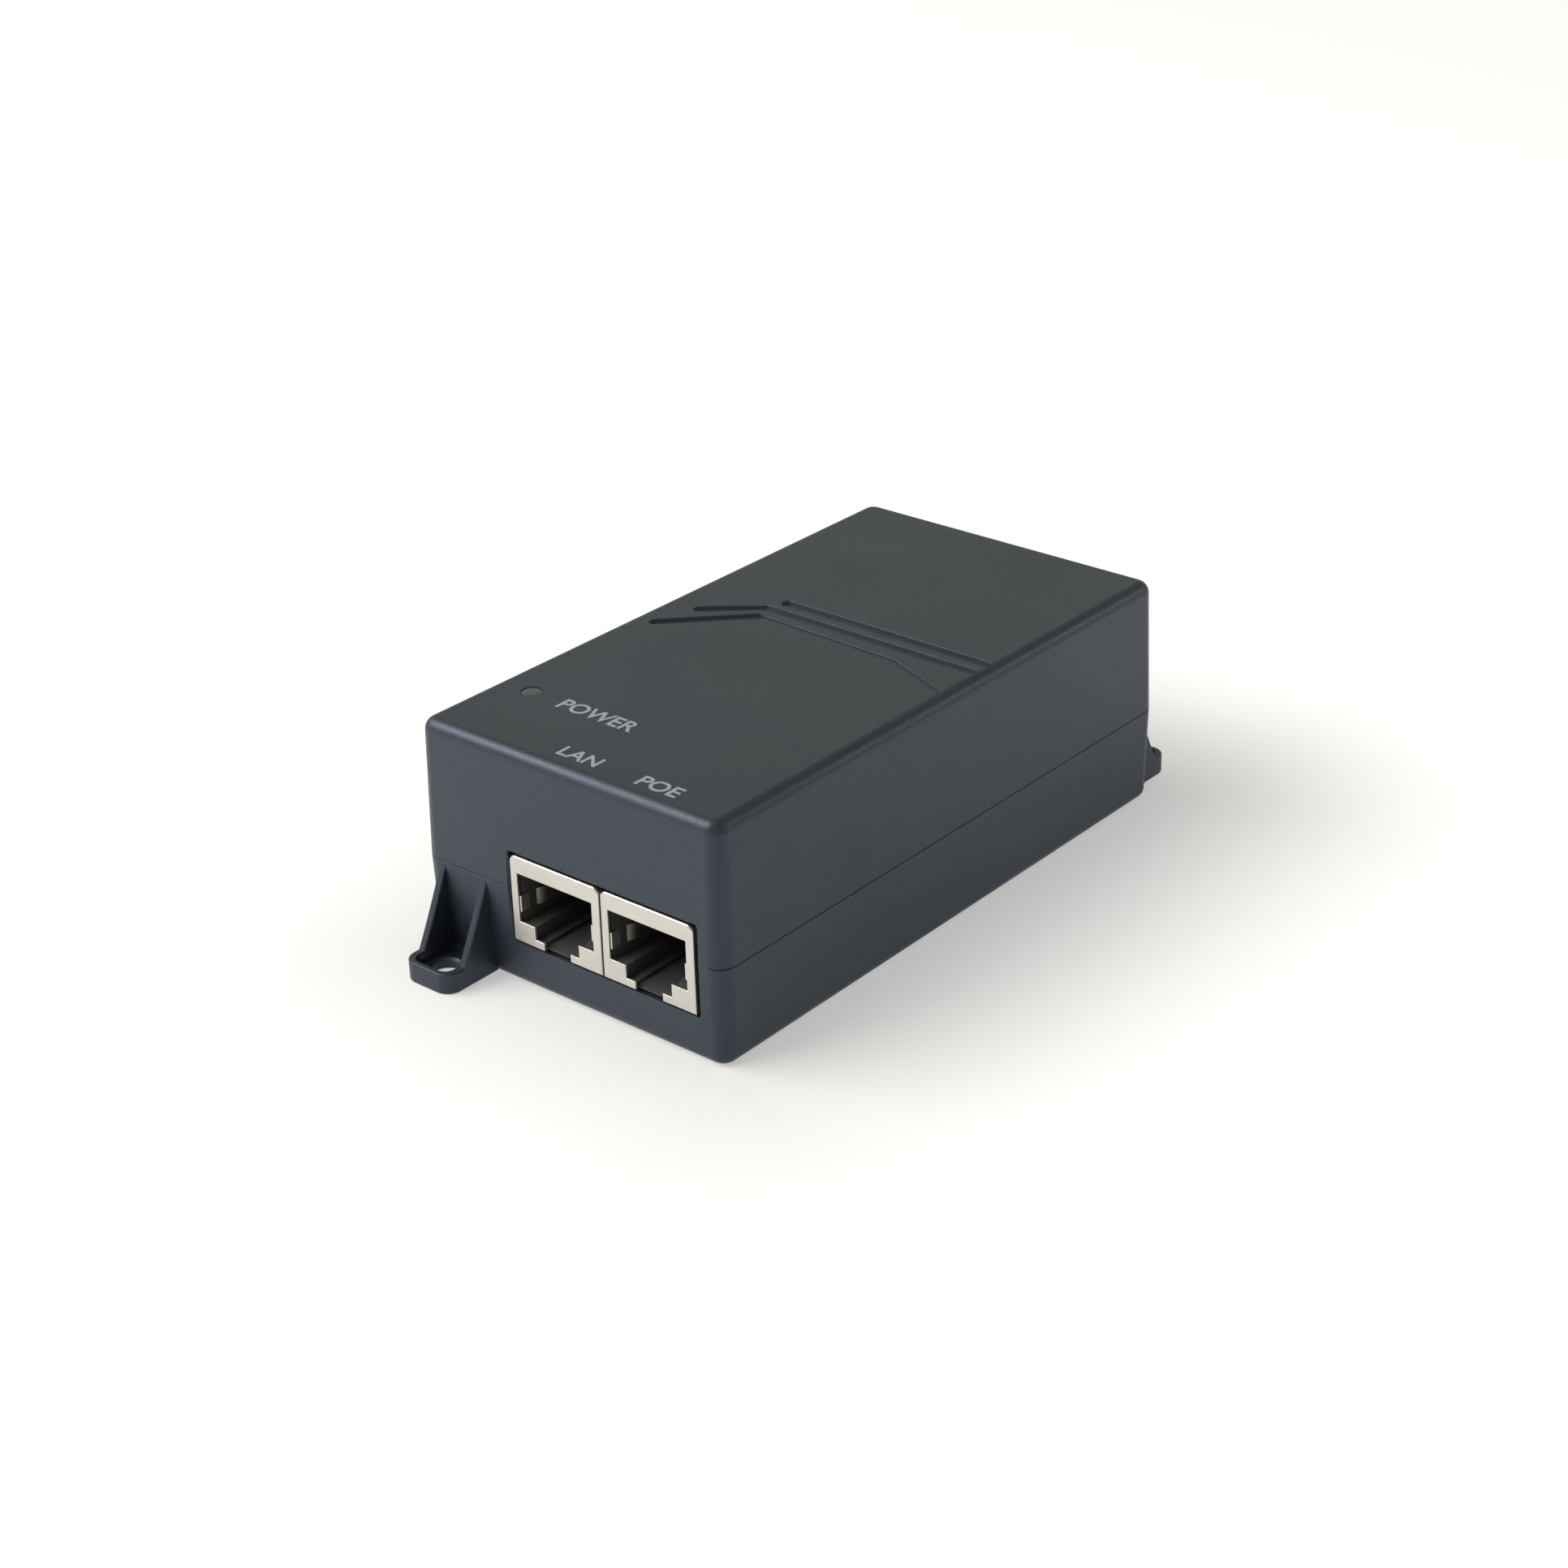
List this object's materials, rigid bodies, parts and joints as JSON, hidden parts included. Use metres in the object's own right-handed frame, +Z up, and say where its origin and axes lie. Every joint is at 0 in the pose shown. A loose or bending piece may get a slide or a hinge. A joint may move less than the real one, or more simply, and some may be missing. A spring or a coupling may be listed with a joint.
{
  "type": "poe injector",
  "caption": "Two-shell power-over-Ethernet injector with a pair of shielded network jacks, a rear mains inlet, a status light and two diagonal screw ears.",
  "frame": {"origin": "centre of the underside of the base, midway between the tips of the two screw ears", "axes": "+Z up; the network jacks face -Y and the mains inlet faces +Y; +X runs along the row of jacks from LAN to PoE"},
  "size_m": [0.052, 0.111, 0.034],
  "materials": {
    "case": "fine satin-matte moulded plastic, black-grey",
    "shield": "tinned steel sheet, warm silver",
    "jack_plastic": "black moulded plastic",
    "contact_gold": "gold-plated bronze",
    "pin_metal": "nickel-plated brass",
    "screw_steel": "zinc-plated steel",
    "board": "glass-epoxy circuit board with green solder mask",
    "insulation": "translucent insulating sheet",
    "light_window": "clear plastic, faintly green when off",
    "aluminium": "satin sheet",
    "ferrite": "dull dark grey ferrite",
    "tape": "yellow polyester winding tape",
    "copper": "enamelled copper wire",
    "can_sleeve": "dark blue heat-shrunk sleeve",
    "epoxy": "black moulded epoxy",
    "yellow_box": "yellow moulded box",
    "blue_coating": "dipped blue epoxy",
    "green_coating": "dipped green epoxy",
    "legend_ink": "light grey printed ink"
  },
  "bodies": {
    "injector": {"top_cover": "case", "bottom_cover": "case", "case_screw_1": "screw_steel", "case_screw_2": "screw_steel", "case_screw_3": "screw_steel", "case_screw_4": "screw_steel", "main_pcb": "board", "insulation_sheet": "insulation", "lan_jack_shield": "shield", "poe_jack_shield": "shield", "lan_jack_housing": "jack_plastic", "poe_jack_housing": "jack_plastic", "lan_jack_insert": "jack_plastic", "poe_jack_insert": "jack_plastic", "inlet_housing": "jack_plastic", "inlet_line_pin": "pin_metal", "inlet_neutral_pin": "pin_metal", "inlet_earth_pin": "pin_metal", "fuse": "epoxy", "varistor": "blue_coating", "thermistor": "green_coating", "x_capacitor": "yellow_box", "choke_core": "ferrite", "choke_winding": "copper", "bridge_rectifier": "epoxy", "bulk_capacitor": "can_sleeve", "primary_heatsink": "aluminium", "switching_transistor": "epoxy", "pwm_controller": "epoxy", "transformer_core": "ferrite", "transformer_winding": "tape", "optocoupler": "epoxy", "y_capacitor": "blue_coating", "secondary_heatsink": "aluminium", "output_rectifier": "epoxy", "output_capacitor_1": "can_sleeve", "output_capacitor_2": "can_sleeve", "output_inductor": "ferrite", "poe_controller": "epoxy", "lan_magnetics": "epoxy", "status_led": "light_window", "led_light_pipe": "light_window"},
    "lan_contacts": {"lan_contact_1": "contact_gold", "lan_contact_2": "contact_gold", "lan_contact_3": "contact_gold", "lan_contact_4": "contact_gold", "lan_contact_5": "contact_gold", "lan_contact_6": "contact_gold", "lan_contact_7": "contact_gold", "lan_contact_8": "contact_gold"},
    "poe_contacts": {"poe_contact_1": "contact_gold", "poe_contact_2": "contact_gold", "poe_contact_3": "contact_gold", "poe_contact_4": "contact_gold", "poe_contact_5": "contact_gold", "poe_contact_6": "contact_gold", "poe_contact_7": "contact_gold", "poe_contact_8": "contact_gold"}
  },
  "joints": [
    {"name": "lan_contacts_flex", "type": "hinge", "parent": "injector", "child": "lan_contacts", "pos_m": [-0.00225, -0.044, 0.0171], "axis": [1, 0, 0], "range_deg": [0, 12], "stiffness_Nm_per_rad": 0.45},
    {"name": "poe_contacts_flex", "type": "hinge", "parent": "injector", "child": "poe_contacts", "pos_m": [0.01355, -0.044, 0.0171], "axis": [1, 0, 0], "range_deg": [0, 12], "stiffness_Nm_per_rad": 0.45}
  ]
}
